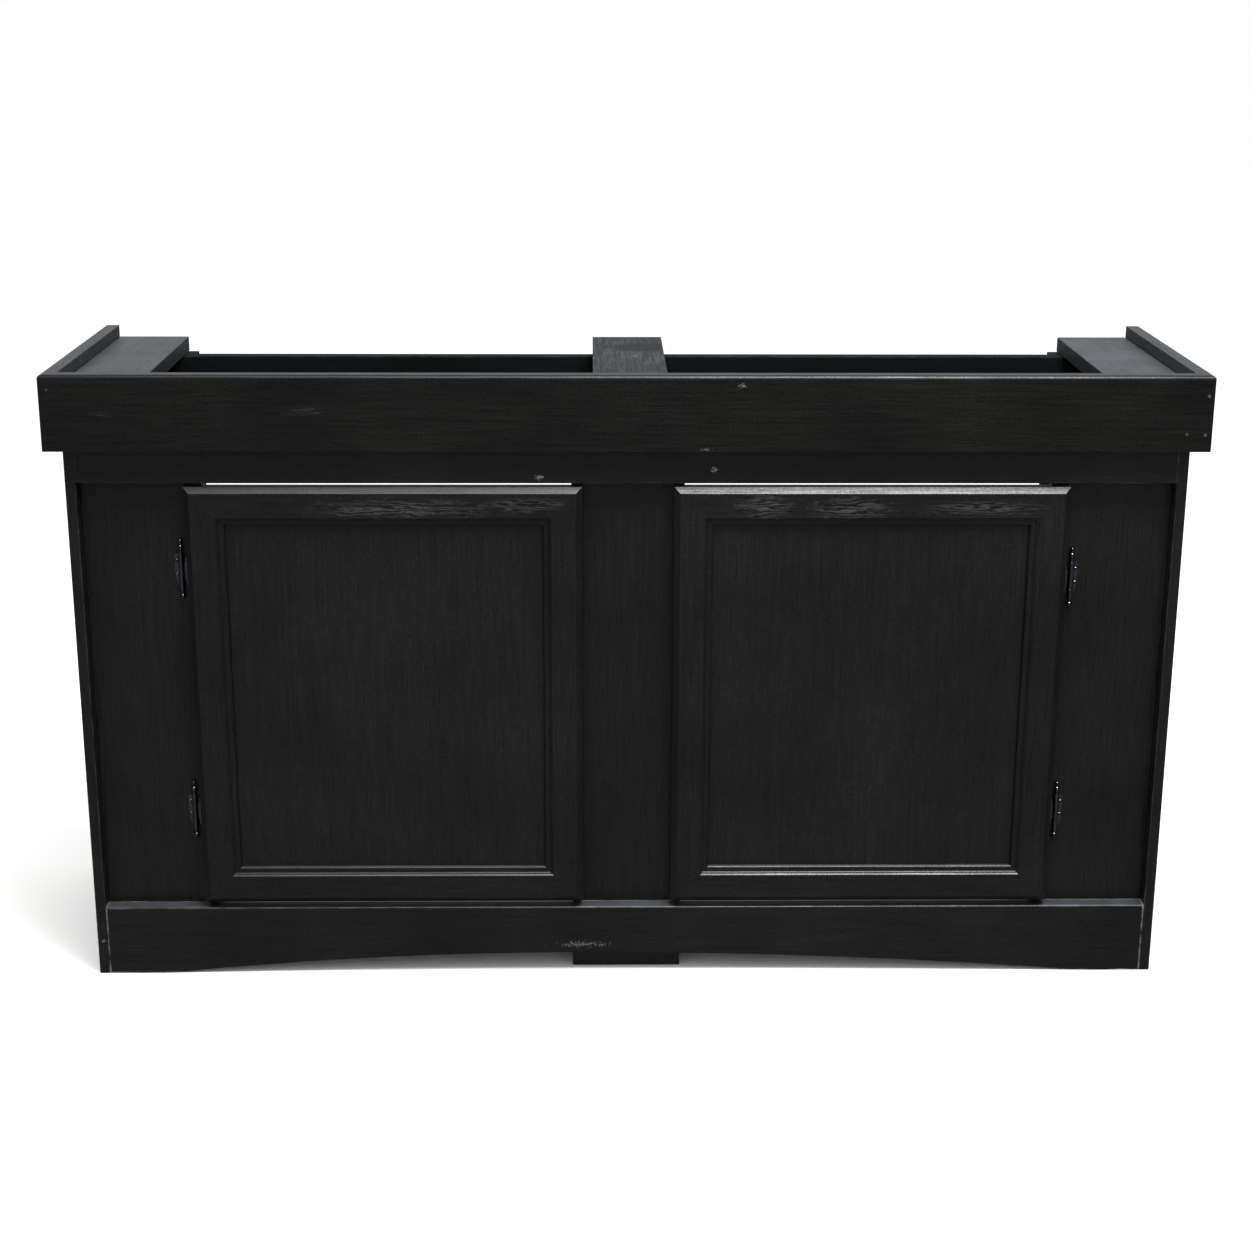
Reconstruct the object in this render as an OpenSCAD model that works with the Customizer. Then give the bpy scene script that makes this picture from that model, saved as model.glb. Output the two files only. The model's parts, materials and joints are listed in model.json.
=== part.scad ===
// Aquarium stand cabinet: a painted board stand for a long tank, with a raised rim round the
// front and sides, an open top and back, an arched base skirt and two framed doors on barrel hinges.
// Millimetres, +Z up. The origin is on the floor at the middle of the footprint. The front faces -Y.

/* [Stand] */
// Width over the rim
stand_w = 1270; // [1060:10:1600]
// Depth from the face of the rim to the back
stand_d = 343; // [285:1:480]
// Height from the floor to the top of the rim
stand_h = 711; // [590:1:900]

/* [Boards] */
// Thickness of the rails, stiles, posts and top boards
board_t = 18; // [15:1:22]
// Width of the stock board that the rim, top boards, back rails and posts are cut from
board_w = 84; // [70:1:101]
// Thickness of the side panels
side_t = 12; // [9:1:19]
// Radius that eases the long edges of a board
ease_r = 1.2; // [0.5:0.1:2]

/* [Rim] */
// Thickness of the rim boards
rim_t = 18; // [15:1:22]
// How far the rim stands above the top boards, to hold the tank in place
rim_lip = 14; // [8:1:30]
// Radius of the rounded outer top edge of the rim
rim_round = 5; // [2:0.5:8]
// Radius of the rim's upright front corners
rim_corner = 2.5; // [1:0.5:4]
// How far the middle top board sits to the right of centre
middle_shift = 3; // [-20:1:20]

/* [Face] */
// Depth of the front top rail that shows below the rim
rail_show = 39; // [25:1:60]
// Width of the left and right stiles
stile_w = 134; // [110:1:161]
// Width of the centre stile
centre_w = 126; // [105:1:152]

/* [Skirt] */
// Height of the base skirt
skirt_h = 83; // [70:1:100]
// Rise of the arch under the skirt
arch_rise = 25; // [10:1:32]
// Flat foot of the skirt beside each side panel
foot_w = 66; // [40:1:90]
// How far the crown of the arch sits to the left of centre
crown_shift = 60; // [0:5:120]
// Radius of the worn top edge of the skirt
skirt_round = 3; // [1:0.5:4]

/* [Doors] */
// Thickness of the door frame
door_t = 19; // [17:0.5:23]
// Width of the door frame's bars
bar_w = 43.5; // [38:0.5:54]
// Width of the bevel round the outside of the door
bevel_w = 6.5; // [4:0.5:9]
// Depth of that bevel
bevel_d = 5.5; // [4:0.5:9]
// Width of the moulding round the panel
mould_w = 9.5; // [9:0.5:12]
// Size of the chamfer at the outside of the moulding
chamfer_w = 1.4; // [1:0.1:1.8]
// Flat between that chamfer and the cove
fillet_w = 0.8; // [0.5:0.1:1.2]
// Radius of the cove
cove_r = 2.2; // [1.8:0.1:2.4]
// Radius of the rounded lip beside the panel
lip_r = 3.2; // [2.5:0.1:3.6]
// Thickness of the flat panel
panel_t = 6; // [5:0.5:7]
// How far the panel's face lies behind the frame's face
panel_set = 9; // [8:0.5:10]
// How deep the panel's edge goes into the frame
panel_tongue = 6.5; // [5:0.5:8]
// How far a door laps the outer stile
lap_outer = 18; // [16:1:24]
// How far a door laps the centre stile
lap_centre = 12; // [10:1:16]
// Gap between the top rail and the doors
gap_top = 4.5; // [2:0.5:8]
// Gap between the skirt and the doors
gap_foot = 6.5; // [3:0.5:10]
// Gap between the back of a door and the stiles
door_off = 2; // [1.8:0.1:3]

/* [Hinges] */
// Height of a hinge barrel
barrel_h = 42; // [36:1:52]
// Outer radius of the knuckles
knuckle_r = 3.1; // [2.8:0.1:3.4]
// Radius of the hinge pin
pin_r = 1.4; // [1.2:0.1:1.6]
// How far the pin's axis stands out from the edge of the door
pin_off = 8.5; // [5:0.5:10]
// Radius of the large ball on the top of the pin
ball_r = 3.7; // [3.2:0.1:4.2]
// Height of the neck between the barrel and the ball at each end
neck_h = 3.8; // [2:0.2:5]
// Thickness of the leaf that shows on the stile
wing_t = 1.8; // [1.5:0.1:2]
// Width of that leaf from the pin
wing_w = 7.8; // [7.6:0.1:12]
// Thickness of the leaf behind the door
leaf_t = 1.5; // [1.2:0.1:1.7]
// Reach of that leaf behind the door from the pin
leaf_reach = 26; // [24:1:30]
// Drop from the top of a door to the middle of its upper hinge
hinge_drop = 99.5; // [70:0.5:120]
// Rise from the foot of a door to the middle of its lower hinge
hinge_rise = 107.5; // [80:0.5:140]
// How much lower the right door's upper hinge sits
upper_drop = 10; // [0:1:12]
// How much lower the right door's lower hinge sits
lower_drop = 2.5; // [0:0.5:12]

/* [Shelf] */
// Thickness of the shelf at the bottom of the cabinet
shelf_t = 12; // [9:1:18]
// Height of the cleats under the shelf
cleat_h = 30; // [20:1:40]

/* [Hidden] */
// Clearances
knuckle_gap = 0.3;     // between knuckles that turn past each other, and between pin balls and wood
pin_clear = 0.05;      // radial, pin in a knuckle
panel_clear = 0.5;     // round the edge of a door panel in its groove
shelf_clear = 0.5;     // round the shelf
screw_clear = 0.05;    // radial, screw in its hole
cut = 1;               // how far a cutter passes the face it cuts
$fn = 64;

// Planes of the case
front_y = -stand_d / 2;            // face of the rim
case_y = front_y + rim_t;          // front of the side panels, top rail and skirt
stile_y = case_y + board_t;        // face of the stiles
inner_y = stile_y + board_t;       // back of the stiles
back_y = stand_d / 2;              // back of the stand
post_y = back_y - board_t;         // front of the back posts
rail_y = post_y - board_t;         // front of the back rails
case_x = stand_w / 2 - rim_t;      // outside of the side panels
inside_x = case_x - side_t;        // inside of the side panels
top_z = stand_h - rim_lip;         // top of the boards that carry the tank
case_h = top_z - board_t;          // top of the side panels, stiles, posts and rails
rim_z = stand_h - board_w;         // underside of the rim
opening_z = rim_z - rail_show;     // top of the door openings
opening_x = inside_x - stile_w;    // outer edge of a door opening

// Doors
door_in = centre_w / 2 - lap_centre;
door_out = opening_x + lap_outer;
door_w = door_out - door_in;
door_z = skirt_h + gap_foot;
door_h = opening_z - gap_top - door_z;
door_back_y = stile_y - door_off;

// Hinges
pin_x = door_out + pin_off;
pin_y = stile_y - ball_r - knuckle_gap;
side_knuckle = barrel_h * 0.26;    // each of the two knuckles of the wing
mid_knuckle = barrel_h - 2 * side_knuckle - 2 * knuckle_gap;
mid_zone = mid_knuckle / 2 + knuckle_gap;
small_ball_r = ball_r * 0.6;       // ball on top of the large one
tip_gap = 1.2;                     // stem between those two balls
foot_ball_r = ball_r * 0.88;       // ball at the foot of the pin
foot_tip_r = ball_r * 0.5;         // blunt tip under that ball
neck_foot_r = knuckle_r * 0.8;     // neck where it stands on the barrel
neck_top_r = knuckle_r * 0.6;      // neck where it meets the ball
sweep_r = barrel_h * 0.95;         // curve that sweeps the wing in towards its foot
wing_corner_r = wing_w * 0.4;      // rounded top corner of the wing
screw_r = 1.2;
head_r = 2;
head_h = 1.2;
wing_screw_x = knuckle_r + knuckle_gap + head_r;
wing_screw_z = [-barrel_h * 0.08, barrel_h * 0.3];
wing_screw_l = 12;
leaf_h = barrel_h * 0.8;
leaf_corner_r = leaf_t * 2;
leaf_screw_x = -leaf_reach * 0.62;
leaf_screw_z = [-leaf_h * 0.32, leaf_h * 0.32];
leaf_screw_l = 9.5;
bumper_r = 4.5;
bumper_drop = 30;

LEFT = -1;
RIGHT = 1;
paint = [0.13, 0.13, 0.13];
face_paint = [0.11, 0.11, 0.11];
panel_paint = [0.12, 0.12, 0.12];
top_paint = [0.28, 0.3, 0.31];
metal = [0.05, 0.05, 0.05];
rubber = [0.2, 0.2, 0.2];

// Height of a hinge's middle above the floor, upper or lower, on one side
function hinge_z(side, upper) =
    upper ? door_z + door_h - hinge_drop - (side == RIGHT ? upper_drop : 0)
          : door_z + hinge_rise - (side == RIGHT ? lower_drop : 0);

// ---- Boards ----

// Rectangle from the origin with its four corners eased
module eased_rect(w, h, r) {
    difference() {
        square([w, h]);
        for (x = [0, 1], y = [0, 1])
            translate([x * w, y * h]) mirror([x, 0]) mirror([0, y]) corner_waste(r);
    }
}

// What a rounded corner of radius r removes, at the origin of a first quadrant
module corner_waste(r) {
    difference() {
        translate([-cut, -cut]) square(r + cut);
        translate([r, r]) circle(r);
    }
}

// Board that stands along Z: x size, y size, height
module upright(sx, sy, h) {
    linear_extrude(h) eased_rect(sx, sy, ease_r);
}

// Board that lies along X: length, y size, z size
module lying_x(l, sy, sz) {
    rotate([90, 0, 90]) linear_extrude(l) eased_rect(sy, sz, ease_r);
}

// Board that lies along Y: x size, length, z size
module lying_y(sx, l, sz) {
    translate([0, l, 0]) rotate([90, 0, 0]) linear_extrude(l) eased_rect(sx, sz, ease_r);
}

// ---- Case ----

module side_panel(side) {
    color(paint)
        translate([side == LEFT ? -case_x : inside_x, case_y, 0])
            upright(side_t, back_y - case_y, case_h);
}

// Pilot holes for the screws of the two hinge wings on one side
module wing_holes(side) {
    for (upper = [false, true], z = wing_screw_z)
        at_hinge(side, upper)
            translate([wing_screw_x, ball_r + knuckle_gap - cut, z])
                rotate([-90, 0, 0]) cylinder(r = screw_r + screw_clear, h = wing_screw_l + cut, $fn = 32);
}

module outer_stile(side) {
    color(face_paint)
        difference() {
            translate([side == LEFT ? -inside_x : opening_x, stile_y, 0])
                upright(stile_w, board_t, case_h);
            wing_holes(side);
        }
}

module centre_stile() {
    color(face_paint)
        translate([-centre_w / 2, stile_y, 0]) upright(centre_w, board_t, case_h);
}

module front_top_rail() {
    color(paint)
        translate([-inside_x, case_y, opening_z])
            lying_x(2 * inside_x, board_t, case_h - opening_z);
}

// Outline of the space under the arch: two arcs that meet level at the crown
module arch_outline() {
    spring_x = inside_x - foot_w;
    for (side = [LEFT, RIGHT]) {
        run = spring_x + side * crown_shift;
        arc_r = (run * run + arch_rise * arch_rise) / (2 * arch_rise);
        intersection() {
            translate([-crown_shift, arch_rise - arc_r]) circle(arc_r, $fn = 256);
            translate([side == LEFT ? -crown_shift - run : -crown_shift, -cut])
                square([run, arch_rise + 2 * cut]);
        }
    }
}

// Section of the skirt: a board whose top front edge is rounded
module skirt_section() {
    difference() {
        square([board_t, skirt_h]);
        translate([0, skirt_h]) mirror([0, 1]) corner_waste(skirt_round);
    }
}

module base_skirt() {
    color(paint)
        difference() {
            translate([-inside_x, case_y, 0])
                rotate([90, 0, 90]) linear_extrude(2 * inside_x) skirt_section();
            translate([0, case_y + board_t + cut, 0])
                rotate([90, 0, 0]) linear_extrude(board_t + 2 * cut) arch_outline();
        }
}

module back_rail(z) {
    color(paint)
        translate([-inside_x, rail_y, z]) lying_x(2 * inside_x, board_t, board_w);
}

module back_post(side) {
    color(paint)
        translate([side == LEFT ? -inside_x : inside_x - board_w, post_y, 0])
            upright(board_w, board_t, case_h);
}

// ---- Top ----

module top_board(x) {
    color(top_paint)
        translate([x, case_y, case_h]) lying_y(board_w, back_y - case_y, board_t);
}

// Section of the rim: outside face at x = 0, rounded at the top
module rim_section() {
    difference() {
        square([rim_t, board_w]);
        translate([0, board_w]) mirror([0, 1]) corner_waste(rim_round);
        translate([rim_t, board_w]) mirror([1, 0]) mirror([0, 1]) corner_waste(ease_r);
        corner_waste(ease_r);
    }
}

// Plan of the whole rim with its two front corners rounded
module rim_plan() {
    difference() {
        translate([-stand_w / 2, front_y]) square([stand_w, stand_d]);
        for (x = [0, 1])
            mirror([x, 0]) translate([-stand_w / 2, front_y]) corner_waste(rim_corner);
    }
}

// Half-plane wedge in plan that keeps the front board's side of the mitre
module front_mitre_plan() {
    polygon([
        [-stand_w / 2, front_y],
        [stand_w / 2, front_y],
        [stand_w / 2 - rim_t, front_y + rim_t],
        [-stand_w / 2 + rim_t, front_y + rim_t]
    ]);
}

module front_rim() {
    color(paint)
        intersection() {
            translate([-stand_w / 2, front_y, rim_z])
                rotate([90, 0, 90]) linear_extrude(stand_w) rim_section();
            translate([0, 0, rim_z]) linear_extrude(board_w)
                intersection() {
                    front_mitre_plan();
                    rim_plan();
                }
        }
}

module side_rim(side) {
    color(paint)
        mirror([side == LEFT ? 0 : 1, 0, 0])
            intersection() {
                translate([-stand_w / 2, back_y, rim_z])
                    rotate([90, 0, 0]) linear_extrude(stand_d) rim_section();
                translate([0, 0, rim_z]) linear_extrude(board_w)
                    intersection() {
                        polygon([
                            [-stand_w / 2, front_y],
                            [-stand_w / 2 + rim_t, front_y + rim_t],
                            [-stand_w / 2 + rim_t, back_y],
                            [-stand_w / 2, back_y]
                        ]);
                        rim_plan();
                    }
            }
}

// ---- Shelf ----

module shelf() {
    color(panel_paint)
        translate([0, 0, skirt_h - shelf_t])
            linear_extrude(shelf_t)
                difference() {
                    translate([-inside_x + shelf_clear, stile_y + shelf_clear])
                        square([2 * (inside_x - shelf_clear), rail_y - stile_y - 2 * shelf_clear]);
                    for (side = [LEFT, RIGHT])
                        translate([side * (opening_x - shelf_clear), stile_y])
                            mirror([side == LEFT ? 1 : 0, 0])
                                square([stile_w + cut, board_t + shelf_clear]);
                    translate([-centre_w / 2 - shelf_clear, stile_y])
                        square([centre_w + 2 * shelf_clear, board_t + shelf_clear]);
                }
}

module long_cleat(y) {
    color(paint)
        translate([-inside_x, y, skirt_h - shelf_t - cleat_h])
            lying_x(2 * inside_x, board_t, cleat_h);
}

module side_cleat(side) {
    color(paint)
        translate([side == LEFT ? -inside_x : inside_x - board_t, inner_y + board_t,
                   skirt_h - shelf_t - cleat_h])
            lying_y(board_t, rail_y - inner_y - 2 * board_t, cleat_h);
}

// ---- Doors ----

// Section of a door bar. x runs inwards from the outer edge, y from the back to the face.
module bar_section() {
    face_end = bar_w - mould_w;
    cove_x = face_end + chamfer_w + fillet_w;
    cove_y = door_t - chamfer_w;
    crown_y = cove_y - cove_r;
    groove_y = door_t - panel_set - panel_t - panel_clear / 2;
    difference() {
        union() {
            polygon([
                [0, 0], [bar_w, 0], [bar_w, crown_y - lip_r], [bar_w - lip_r, crown_y],
                [cove_x + cove_r, crown_y], [cove_x + cove_r, cove_y],
                [face_end + chamfer_w, cove_y], [face_end, door_t],
                [bevel_w, door_t], [0, door_t - bevel_d]
            ]);
            translate([bar_w - lip_r, crown_y - lip_r]) circle(lip_r);
        }
        translate([cove_x + cove_r, cove_y]) circle(cove_r);
        translate([bar_w - panel_tongue - panel_clear, groove_y])
            square([panel_tongue + panel_clear + cut, panel_t + panel_clear / 2]);
        corner_waste(ease_r);
    }
}

// Bar of the given length along X, mitred at both ends, with its outer edge on y = 0
module mitred_bar(l) {
    intersection() {
        rotate([90, 0, 90]) linear_extrude(l) bar_section();
        translate([0, 0, -cut])
            linear_extrude(door_t + 2 * cut)
                polygon([[0, 0], [l, 0], [l - bar_w, bar_w], [bar_w, bar_w]]);
    }
}

// Places a door drawn in its own plane: x from its outer edge to its free edge, y up, z forwards
module at_door(side) {
    mirror([side == LEFT ? 0 : 1, 0, 0])
        translate([-door_out, door_back_y, door_z]) rotate([90, 0, 0]) children();
}

module door_hinge_bar(side) {
    color(paint)
        difference() {
            at_door(side) translate([0, door_h, 0]) rotate([0, 0, -90]) mitred_bar(door_h);
            for (upper = [false, true], z = leaf_screw_z)
                at_hinge(side, upper)
                    translate([leaf_screw_x, door_back_y - pin_y + cut, z])
                        rotate([90, 0, 0])
                            cylinder(r = screw_r + screw_clear, h = leaf_screw_l + cut, $fn = 32);
        }
}

module door_free_bar(side) {
    color(paint) at_door(side) translate([door_w, 0, 0]) rotate([0, 0, 90]) mitred_bar(door_h);
}

module door_top_bar(side) {
    color(paint) at_door(side) translate([0, door_h, 0]) mirror([0, 1, 0]) mitred_bar(door_w);
}

module door_foot_bar(side) {
    color(paint) at_door(side) mitred_bar(door_w);
}

module door_panel(side) {
    inset = bar_w - panel_tongue;
    color(panel_paint)
        at_door(side)
            translate([inset, inset, door_t - panel_set - panel_t])
                cube([door_w - 2 * inset, door_h - 2 * inset, panel_t]);
}

module door_bumpers(side) {
    color(rubber)
        at_door(side)
            for (y = [bumper_drop, door_h - bumper_drop])
                translate([door_w - lap_centre / 2, y, -door_off])
                    cylinder(r = bumper_r, h = door_off, $fn = 32);
}

// ---- Hinges ----

// Places a hinge: z up its pin, x away from the door, y backwards to the stile
module at_hinge(side, upper) {
    mirror([side == LEFT ? 1 : 0, 0, 0])
        translate([pin_x, pin_y, hinge_z(side, upper)]) children();
}

// Outline of the leaf on the stile: square at the top, swept to a point at the foot
module wing_outline() {
    intersection() {
        difference() {
            translate([0, -barrel_h / 2]) square([wing_w, barrel_h]);
            translate([wing_w, barrel_h / 2]) mirror([1, 0]) mirror([0, 1]) corner_waste(wing_corner_r);
        }
        union() {
            translate([wing_w - sweep_r, 0]) circle(sweep_r, $fn = 128);
            square([wing_w, barrel_h / 2]);
        }
    }
}

module hinge_wing(side, upper) {
    color(metal)
        at_hinge(side, upper)
            difference() {
                union() {
                    translate([0, ball_r + knuckle_gap, 0])
                        rotate([90, 0, 0]) linear_extrude(wing_t) wing_outline();
                    for (z = [-barrel_h / 2, barrel_h / 2 - side_knuckle])
                        translate([0, 0, z]) {
                            cylinder(r = knuckle_r, h = side_knuckle);
                            cube([knuckle_r, ball_r + knuckle_gap, side_knuckle]);
                        }
                }
                translate([0, 0, -barrel_h / 2 - cut])
                    cylinder(r = pin_r + pin_clear, h = barrel_h + 2 * cut);
                translate([-cut, -knuckle_r, -mid_zone])
                    cube([knuckle_r + knuckle_gap + cut, 2 * (knuckle_r + wing_t), 2 * mid_zone]);
                for (z = wing_screw_z)
                    translate([wing_screw_x, 0, z])
                        rotate([-90, 0, 0])
                            cylinder(r = screw_r + screw_clear, h = 2 * ball_r, $fn = 32);
            }
}

module hinge_leaf(side, upper) {
    back = door_back_y - pin_y;
    color(metal)
        at_hinge(side, upper)
            difference() {
                union() {
                    translate([-leaf_reach, back + leaf_t, -leaf_h / 2])
                        rotate([90, 0, 0]) linear_extrude(leaf_t)
                            eased_rect(leaf_reach - ball_r - knuckle_gap, leaf_h, leaf_corner_r);
                    translate([-ball_r - knuckle_gap - cut, back, -mid_knuckle / 2])
                        cube([ball_r + knuckle_gap + cut, leaf_t, mid_knuckle]);
                    translate([0, 0, -mid_knuckle / 2]) cylinder(r = knuckle_r, h = mid_knuckle);
                }
                translate([0, 0, -barrel_h / 2]) cylinder(r = pin_r + pin_clear, h = barrel_h);
                for (z = leaf_screw_z)
                    translate([leaf_screw_x, back - cut, z])
                        rotate([-90, 0, 0]) {
                            cylinder(r = screw_r + screw_clear, h = leaf_t + 2 * cut, $fn = 32);
                            translate([0, 0, cut])
                                cylinder(r1 = screw_r + screw_clear, r2 = head_r + screw_clear, h = leaf_t, $fn = 32);
                        }
            }
}

// Pin with a ball and a smaller ball at the top, and a ball and a tip at the foot
module hinge_pin(side, upper) {
    half = barrel_h / 2;
    top_ball = half + neck_h + ball_r;
    top_tip = top_ball + ball_r + tip_gap + small_ball_r;
    foot_ball = half + neck_h + foot_ball_r;
    foot_tip = foot_ball + foot_ball_r;
    color(metal)
        at_hinge(side, upper)
            rotate_extrude()
                intersection() {
                    union() {
                        polygon([
                            [0, -foot_tip], [pin_r, -foot_tip], [pin_r, -foot_ball],
                            [neck_top_r, -foot_ball], [neck_top_r, -half - neck_h],
                            [neck_foot_r, -half - pin_clear], [pin_r, -half - pin_clear],
                            [pin_r, half + pin_clear], [neck_foot_r, half + pin_clear],
                            [neck_top_r, half + neck_h], [neck_top_r, top_ball],
                            [pin_r, top_ball], [pin_r, top_tip], [0, top_tip]
                        ]);
                        translate([0, top_ball]) circle(ball_r);
                        translate([0, top_tip]) circle(small_ball_r);
                        translate([0, -foot_ball]) circle(foot_ball_r);
                        translate([0, -foot_tip]) circle(foot_tip_r);
                    }
                    translate([0, -barrel_h]) square([barrel_h, 2 * barrel_h]);
                }
}

// Round-head screw along +Y with the underside of its head on y = 0
module round_head_screw(l) {
    rotate([-90, 0, 0]) {
        cylinder(r = screw_r, h = l, $fn = 32);
        intersection() {
            translate([0, 0, (head_r * head_r - head_h * head_h) / (2 * head_h)])
                sphere((head_r * head_r + head_h * head_h) / (2 * head_h));
            translate([0, 0, -head_h]) cylinder(r = head_r, h = head_h, $fn = 32);
        }
    }
}

module wing_screws() {
    color(metal)
        for (side = [LEFT, RIGHT], upper = [false, true], z = wing_screw_z)
            at_hinge(side, upper)
                translate([wing_screw_x, ball_r + knuckle_gap - wing_t, z])
                    round_head_screw(wing_screw_l);
}

// Flat-head screws that hold the leaves to the back of one door
module leaf_screws(side) {
    color(metal)
        for (upper = [false, true], z = leaf_screw_z)
            at_hinge(side, upper)
                translate([leaf_screw_x, door_back_y - pin_y + leaf_t, z])
                    rotate([90, 0, 0]) {
                        cylinder(r1 = head_r, r2 = screw_r, h = leaf_t, $fn = 32);
                        cylinder(r = screw_r, h = leaf_screw_l, $fn = 32);
                    }
}

side_panel(LEFT);  // left_side_panel
side_panel(RIGHT);  // right_side_panel
outer_stile(LEFT);  // left_stile
centre_stile();
outer_stile(RIGHT);  // right_stile
front_top_rail();
base_skirt();
back_rail(case_h - board_w);  // back_top_rail
back_rail(0);  // back_bottom_rail
back_post(LEFT);  // back_left_post
back_post(RIGHT);  // back_right_post
top_board(-case_x);  // left_end_board
top_board(middle_shift - board_w / 2);  // middle_board
top_board(case_x - board_w);  // right_end_board
front_rim();
side_rim(LEFT);  // left_rim
side_rim(RIGHT);  // right_rim
shelf();
long_cleat(inner_y);  // front_shelf_cleat
long_cleat(rail_y - board_t);  // back_shelf_cleat
side_cleat(LEFT);  // left_shelf_cleat
side_cleat(RIGHT);  // right_shelf_cleat
hinge_wing(LEFT, true);  // left_upper_hinge_wing
hinge_wing(LEFT, false);  // left_lower_hinge_wing
hinge_wing(RIGHT, true);  // right_upper_hinge_wing
hinge_wing(RIGHT, false);  // right_lower_hinge_wing
hinge_pin(LEFT, true);  // left_upper_hinge_pin
hinge_pin(LEFT, false);  // left_lower_hinge_pin
hinge_pin(RIGHT, true);  // right_upper_hinge_pin
hinge_pin(RIGHT, false);  // right_lower_hinge_pin
wing_screws();
door_hinge_bar(LEFT);  // left_door_hinge_bar
door_free_bar(LEFT);  // left_door_free_bar
door_top_bar(LEFT);  // left_door_top_bar
door_foot_bar(LEFT);  // left_door_foot_bar
door_panel(LEFT);  // left_door_panel
door_hinge_bar(RIGHT);  // right_door_hinge_bar
door_free_bar(RIGHT);  // right_door_free_bar
door_top_bar(RIGHT);  // right_door_top_bar
door_foot_bar(RIGHT);  // right_door_foot_bar
door_panel(RIGHT);  // right_door_panel
hinge_leaf(LEFT, true);  // left_upper_hinge_leaf
hinge_leaf(LEFT, false);  // left_lower_hinge_leaf
hinge_leaf(RIGHT, true);  // right_upper_hinge_leaf
hinge_leaf(RIGHT, false);  // right_lower_hinge_leaf
leaf_screws(LEFT);  // left_leaf_screws
leaf_screws(RIGHT);  // right_leaf_screws
door_bumpers(LEFT);  // left_door_bumpers
door_bumpers(RIGHT);  // right_door_bumpers
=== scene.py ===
"""Looks of a black-painted aquarium stand cabinet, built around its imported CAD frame.

Every length is in metres in the frame's own axes: +X to the right of someone facing the doors, +Y to the
back and +Z up, with the origin on the floor in the middle of the footprint.
"""

import json
import logging
import math
import random
from dataclasses import dataclass, field
from enum import Enum
from typing import ClassVar

import bpy
from mathutils import Euler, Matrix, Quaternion, Vector

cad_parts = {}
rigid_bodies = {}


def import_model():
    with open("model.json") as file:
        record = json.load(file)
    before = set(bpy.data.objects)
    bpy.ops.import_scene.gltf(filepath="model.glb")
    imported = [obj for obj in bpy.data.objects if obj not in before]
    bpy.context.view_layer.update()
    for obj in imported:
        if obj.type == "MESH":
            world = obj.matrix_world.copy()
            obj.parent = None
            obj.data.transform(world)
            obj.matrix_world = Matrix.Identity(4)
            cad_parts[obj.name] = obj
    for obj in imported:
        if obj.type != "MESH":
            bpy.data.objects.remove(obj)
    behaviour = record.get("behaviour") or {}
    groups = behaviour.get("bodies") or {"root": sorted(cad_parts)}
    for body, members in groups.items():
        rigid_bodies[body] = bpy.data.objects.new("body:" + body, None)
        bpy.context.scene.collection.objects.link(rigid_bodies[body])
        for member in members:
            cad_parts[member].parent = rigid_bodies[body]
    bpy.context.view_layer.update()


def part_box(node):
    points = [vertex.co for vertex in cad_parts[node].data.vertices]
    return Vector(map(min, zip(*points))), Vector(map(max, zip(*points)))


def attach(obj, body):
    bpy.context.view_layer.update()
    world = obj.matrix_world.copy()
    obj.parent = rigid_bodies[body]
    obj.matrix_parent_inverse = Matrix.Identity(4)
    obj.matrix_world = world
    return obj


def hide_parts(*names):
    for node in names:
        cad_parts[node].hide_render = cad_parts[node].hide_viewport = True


MM = 0.001
MERGE_DISTANCE = 0.002 * MM
FLAT_ANGLE = math.radians(0.5)
ARRIS_ANGLE = math.radians(40)
SMOOTH_ANGLE = math.radians(35)
TURNED_ANGLE = math.radians(50)
# Numbers of a Mix node's colour sockets: lower colour, upper colour and result.
MIX_UNDER, MIX_OVER, MIX_COLOUR = 6, 7, 2
log = logging.getLogger("aquarium_stand")

Box = tuple[Vector, Vector]
Colour = tuple[float, float, float, float]
Triple = tuple[float, float, float]
Point = tuple[float, float]
Tree = bpy.types.NodeTree
Socket = bpy.types.NodeSocket


class Grain(Enum):
    """Which way the wood's fibres run in a board."""

    ALONG_X = 0
    ALONG_Y = 1
    ALONG_Z = 2


class Side(Enum):
    """Left or right of the cabinet, as the sign of X."""

    LEFT = -1
    RIGHT = 1

    @property
    def word(self) -> str:
        """Name of the side as it stands in the names of the pieces."""
        return self.name.lower()


class Level(Enum):
    """Upper or lower hinge of a door."""

    UPPER = "upper"
    LOWER = "lower"


class Facing(Enum):
    """Way that the heads of a group of screws look, as the sign of Y."""

    FRONT = -1
    BACK = 1


def paint(hex_colour: str) -> Colour:
    """Turns an sRGB hex colour into the linear colour that a shader takes.

    Args:
        hex_colour: Six hex digits, with or without a leading '#'.

    Returns:
        Linear red, green, blue and an alpha of 1.
    """
    digits = hex_colour.lstrip("#")
    channels = [int(digits[i : i + 2], 16) / 255 for i in (0, 2, 4)]
    linear = [c / 12.92 if c <= 0.04045 else ((c + 0.055) / 1.055) ** 2.4 for c in channels]
    return (linear[0], linear[1], linear[2], 1.0)


def add(tree: Tree, kind: str, inputs: dict | None = None, **settings) -> bpy.types.Node:
    """Adds one node with its settings, its constants and its links.

    Args:
        tree: Node tree that the node goes into.
        kind: Blender's name of the node type, without the leading 'ShaderNode'.
        inputs: Socket name or number to a constant, a node (its first output) or an output socket.
        **settings: Properties of the node, such as operation or blend_type.

    Returns:
        The new node.
    """
    node = tree.nodes.new("ShaderNode" + kind)
    for name, value in settings.items():
        setattr(node, name, value)
    for key, value in (inputs or {}).items():
        if isinstance(value, bpy.types.Node):
            tree.links.new(value.outputs[0], node.inputs[key])
        elif isinstance(value, Socket):
            tree.links.new(value, node.inputs[key])
        else:
            node.inputs[key].default_value = value
    return node


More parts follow.
